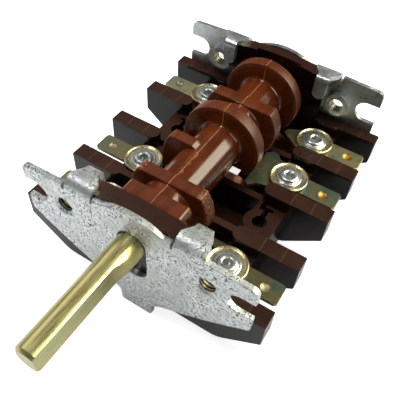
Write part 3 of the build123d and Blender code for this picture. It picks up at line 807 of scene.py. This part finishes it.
class SWITCH_OT_camshaft(bpy.types.Operator):
    """Builds the fine camshaft, the shaft and the cross pin"""
    bl_idname = "switch.camshaft"
    bl_label = "Rotor"

    def execute(self, context):
        cam = new_piece("fine_camshaft", build_camshaft, "rotor", "camshaft", 30.0)
        give(cam, cam_plastic())
        shaft = new_piece("fine_shaft", build_shaft, "rotor", "drive_shaft", 25.0)
        polished = chromate("Polished chromate", settings().chromate_colour, rough=0.25,
                            tint=(0.42, 0.46, 0.22), tint_share=0.6, stain=0.30, metallic=0.85, stretch=0.12)
        give(shaft, polished)
        give(soften("shaft_pin", 0.0), bare_metal("Dark pin", (0.06, 0.05, 0.045), 0.4))
        return {"FINISHED"}


class SWITCH_OT_base(bpy.types.Operator):
    """Rounds the edges of the moulded base and gives it its finish"""
    bl_idname = "switch.base"
    bl_label = "Base"

    def execute(self, context):
        moulding = phenolic()
        give(soften("switch_base", settings().edge), moulding)
        give(new_piece("floor_web", build_web, "housing", None), moulding)
        return {"FINISHED"}


class SWITCH_OT_plates(bpy.types.Operator):
    """Gives the two mounting plates their zinc finishes"""
    bl_idname = "switch.plates"
    bl_label = "Mounting plates"

    def execute(self, context):
        colour = tuple(settings().zinc_colour)
        mottled = mottled_zinc("Mottled zinc", colour, rough=0.40, mark_low=0.47, dark_share=0.9,
                               metallic=0.88, painted_top_light=0.70)
        give(soften("front_plate", 0.0, 28.0), mottled)
        smoother = mottled_zinc("Smoother zinc", shaded(colour, REAR_SHADE), rough=0.26, mark_low=0.56,
                                dark_share=0.4, metallic=0.90, painted_top_light=1.4)
        give(soften("rear_plate", 0.0, 28.0), smoother)
        return {"FINISHED"}


class SWITCH_OT_terminals(bpy.types.Operator):
    """Builds the rivets and washers and gives the terminals their chromate"""
    bl_idname = "switch.terminals"
    bl_label = "Terminals"

    def execute(self, context):
        pale = chromate("Washer chromate", (0.64, 0.53, 0.29), rough=0.25, tint=(0.38, 0.43, 0.35),
                        tint_share=0.6, stain=0.2)
        amber = chromate("Amber dimple", (0.42, 0.19, 0.025), rough=0.42, tint=(0.34, 0.22, 0.07),
                         tint_share=0.8, stain=0.3)
        tan = chromate("Tan dimple", (0.36, 0.31, 0.18), rough=0.45, tint=(0.30, 0.28, 0.18),
                       tint_share=0.8, stain=0.3)
        bright = bare_metal("Bright zinc", (0.60, 0.62, 0.61), 0.26, 0.88)
        segments = settings().segments
        strip_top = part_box("terminal_left_1")[1].z / MM
        leaf_top = strip_top + LEAF_T
        # Each terminal's chromate is a lit or shaded copy of one yellow, as painted light and shade
        for row, shade in STRIP_LIGHT_AND_SHADE.items():
            strip = chromate("Terminal chromate " + row, shaded(STRIP_YELLOW, shade), rough=0.30,
                             tint=shaded(STRIP_TINT, shade), tint_share=0.75, stain=0.7)
            give(soften("terminal_" + row, STRIP_EDGE * MM), strip)
            x, y = rivet_place(row)
            give(turned_piece("fine_washer_" + row, washer_profile(leaf_top), (x, y, 0), segments,
                              "clamp_washer_" + row), pale)
            give(turned_piece("fine_rivet_" + row, rivet_profile(leaf_top + WASHER_T), (x, y, 0), segments,
                              "terminal_rivet_" + row), bright)
            tab_x = math.copysign(DIMPLE_X, x)
            give(turned_piece("dimple_" + row, dimple_profile(strip_top), (tab_x, y, 0), segments // 2,
                              None), amber if row in AMBER_ROWS else tan)
        return {"FINISHED"}


class SWITCH_OT_inside(bpy.types.Operator):
    """Gives the contact pieces and the detent spring their finishes"""
    bl_idname = "switch.inside"
    bl_label = "Contacts and spring"

    def execute(self, context):
        copper = bare_metal("Leaf copper", (0.72, 0.36, 0.22), 0.30)
        brass = bare_metal("Bar brass", (0.70, 0.52, 0.22), 0.30)
        silver = bare_metal("Contact silver", (0.75, 0.74, 0.70), 0.25)
        steel = bare_metal("Spring steel", (0.30, 0.30, 0.31), 0.30)
        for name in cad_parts:
            if name.startswith("contact_leaf"):
                give(soften(name, 0.0), copper)
            elif name.startswith(("leaf_contact", "bar_contact")):
                give(soften(name, 0.0), silver)
            elif name.startswith(("common_bar", "bar_rivet")):
                give(soften(name, 0.0), brass)
        give(soften("detent_spring", 0.0), steel)
        return {"FINISHED"}


def soft_light(name, power, colour=(1.0, 1.0, 1.0), level=False):
    """One of the lights, facing the object's middle, or facing its long axis squarely."""
    spec = LIGHTS[name]
    direction = Vector(spec["toward"]).normalized()
    data = bpy.data.lights.new(name, "AREA")
    data.shape = "RECTANGLE"
    data.size, data.size_y = spec["size"]
    data.energy = power
    data.color = colour
    obj = bpy.data.objects.new(name, data)
    obj.location = Vector(OBJECT_MIDDLE) * MM + direction * spec["distance"]
    obj.rotation_mode = "QUATERNION"
    facing = Vector((-direction.x, 0.0 if level else -direction.y, -direction.z))
    obj.rotation_quaternion = facing.to_track_quat("-Z", "Y")
    obj.visible_camera = False
    bpy.context.scene.collection.objects.link(obj)
    return obj


def photo_camera():
    """The camera at the photograph's place."""
    a = math.radians(CAMERA_AZIMUTH)
    e = math.radians(CAMERA_ELEVATION)
    roll = math.radians(CAMERA_ROLL)
    forward = Vector((-math.sin(a) * math.cos(e), math.cos(a) * math.cos(e), -math.sin(e)))
    level = Vector((math.cos(a), math.sin(a), 0.0))
    up = level.cross(forward)
    right = level * math.cos(roll) + up * math.sin(roll)
    top = right.cross(forward)
    turn = Matrix((right, top, -forward)).transposed()
    data = bpy.data.cameras.new("Photo camera")
    data.lens = CAMERA_LENS
    data.clip_start = 0.005
    data.clip_end = 10.0
    obj = bpy.data.objects.new("Photo camera", data)
    obj.matrix_world = Matrix.Translation(Vector(CAMERA_PLACE) * MM) @ turn.to_4x4()
    bpy.context.scene.collection.objects.link(obj)
    bpy.context.scene.camera = obj


def pale_floor():
    """A floor that the camera sees as white and that keeps the object's shadow."""
    material, tree = blank("Pale floor")
    path = add(tree, "ShaderNodeLightPath")
    matt = add(tree, "ShaderNodeBsdfDiffuse", Color=(0.86, 0.86, 0.86, 1.0))
    strength = limits(tree, path.outputs["Is Camera Ray"], 0.0, 1.0, 0.10, 0.85)
    glow = add(tree, "ShaderNodeEmission", Color=(1.0, 1.0, 1.0, 1.0), Strength=strength)
    plain = tree.nodes.new("ShaderNodeAddShader")
    tree.links.new(matt.outputs[0], plain.inputs[0])
    tree.links.new(glow.outputs[0], plain.inputs[1])
    output = add(tree, "ShaderNodeOutputMaterial")
    tree.links.new(plain.outputs[0], output.inputs["Surface"])
    bm = bmesh.new()
    bmesh.ops.create_grid(bm, x_segments=1, y_segments=1, size=3.0)
    mesh = bpy.data.meshes.new("Floor")
    bm.to_mesh(mesh)
    bm.free()
    floor = bpy.data.objects.new("Floor", mesh)
    floor.location.z = loaded_bounds[0].z - 0.0002
    bpy.context.scene.collection.objects.link(floor)
    give(floor, material)
    return floor


def studio_world():
    """A plain pale surround, white to the camera."""
    world = bpy.data.worlds.new("Studio")
    world.use_nodes = True
    tree = world.node_tree
    tree.nodes.clear()
    path = add(tree, "ShaderNodeLightPath")
    dim = add(tree, "ShaderNodeBackground", Color=(0.95, 0.97, 1.0, 1.0), Strength=0.08)
    white = add(tree, "ShaderNodeBackground", Color=(1.0, 1.0, 1.0, 1.0), Strength=1.0)
    choice = add(tree, "ShaderNodeMixShader", Fac=path.outputs["Is Camera Ray"])
    tree.links.new(dim.outputs[0], choice.inputs[1])
    tree.links.new(white.outputs[0], choice.inputs[2])
    output = add(tree, "ShaderNodeOutputWorld")
    tree.links.new(choice.outputs[0], output.inputs["Surface"])
    bpy.context.scene.world = world


class SWITCH_OT_stage(bpy.types.Operator):
    """Places the camera, the floor, the surround and the lights"""
    bl_idname = "switch.stage"
    bl_label = "Stage"

    def execute(self, context):
        photo_camera()
        studio_world()
        look = settings()
        floor = pale_floor()
        key = soft_light("Key", look.key_power, (1.0, 0.98, 0.76), level=True)
        sky = soft_light("Sky", look.sky_power, (0.98, 1.0, 1.0))
        left = soft_light("Left", look.fill_power)
        back = soft_light("Back", look.back_power)
        front = soft_light("Front", look.spark_power)
        key.visible_diffuse = False
        sky.visible_glossy = False
        front.visible_diffuse = False
        context.scene.view_settings.view_transform = "Standard"
        return {"FINISHED"}


class SWITCH_PT_panel(bpy.types.Panel):
    """The switch's pieces and settings"""
    bl_idname = "SWITCH_PT_panel"
    bl_label = "Rotary cam switch"
    bl_space_type = "VIEW_3D"
    bl_region_type = "UI"
    bl_category = "Cam switch"

    def draw(self, context):
        for name in SwitchSettings.__annotations__:
            self.layout.prop(context.scene.switch_settings, name)
        for operator in OPERATORS:
            self.layout.operator(operator.bl_idname)


OPERATORS = (SWITCH_OT_base, SWITCH_OT_plates, SWITCH_OT_camshaft, SWITCH_OT_terminals, SWITCH_OT_inside,
             SWITCH_OT_stage)
CLASSES = (SwitchSettings,) + OPERATORS + (SWITCH_PT_panel,)


def register():
    """Makes the settings, the operators and the panel known."""
    for cls in CLASSES:
        bpy.utils.register_class(cls)
    bpy.types.Scene.switch_settings = bpy.props.PointerProperty(type=SwitchSettings)


def unregister():
    """Takes them out again."""
    del bpy.types.Scene.switch_settings
    for cls in reversed(CLASSES):
        bpy.utils.unregister_class(cls)


def main():
    """Builds every piece and the stage in order."""
    register()
    bpy.ops.switch.base()
    bpy.ops.switch.plates()
    bpy.ops.switch.camshaft()
    bpy.ops.switch.terminals()
    bpy.ops.switch.inside()
    bpy.ops.switch.stage()


if __name__ == "__main__":
    main()
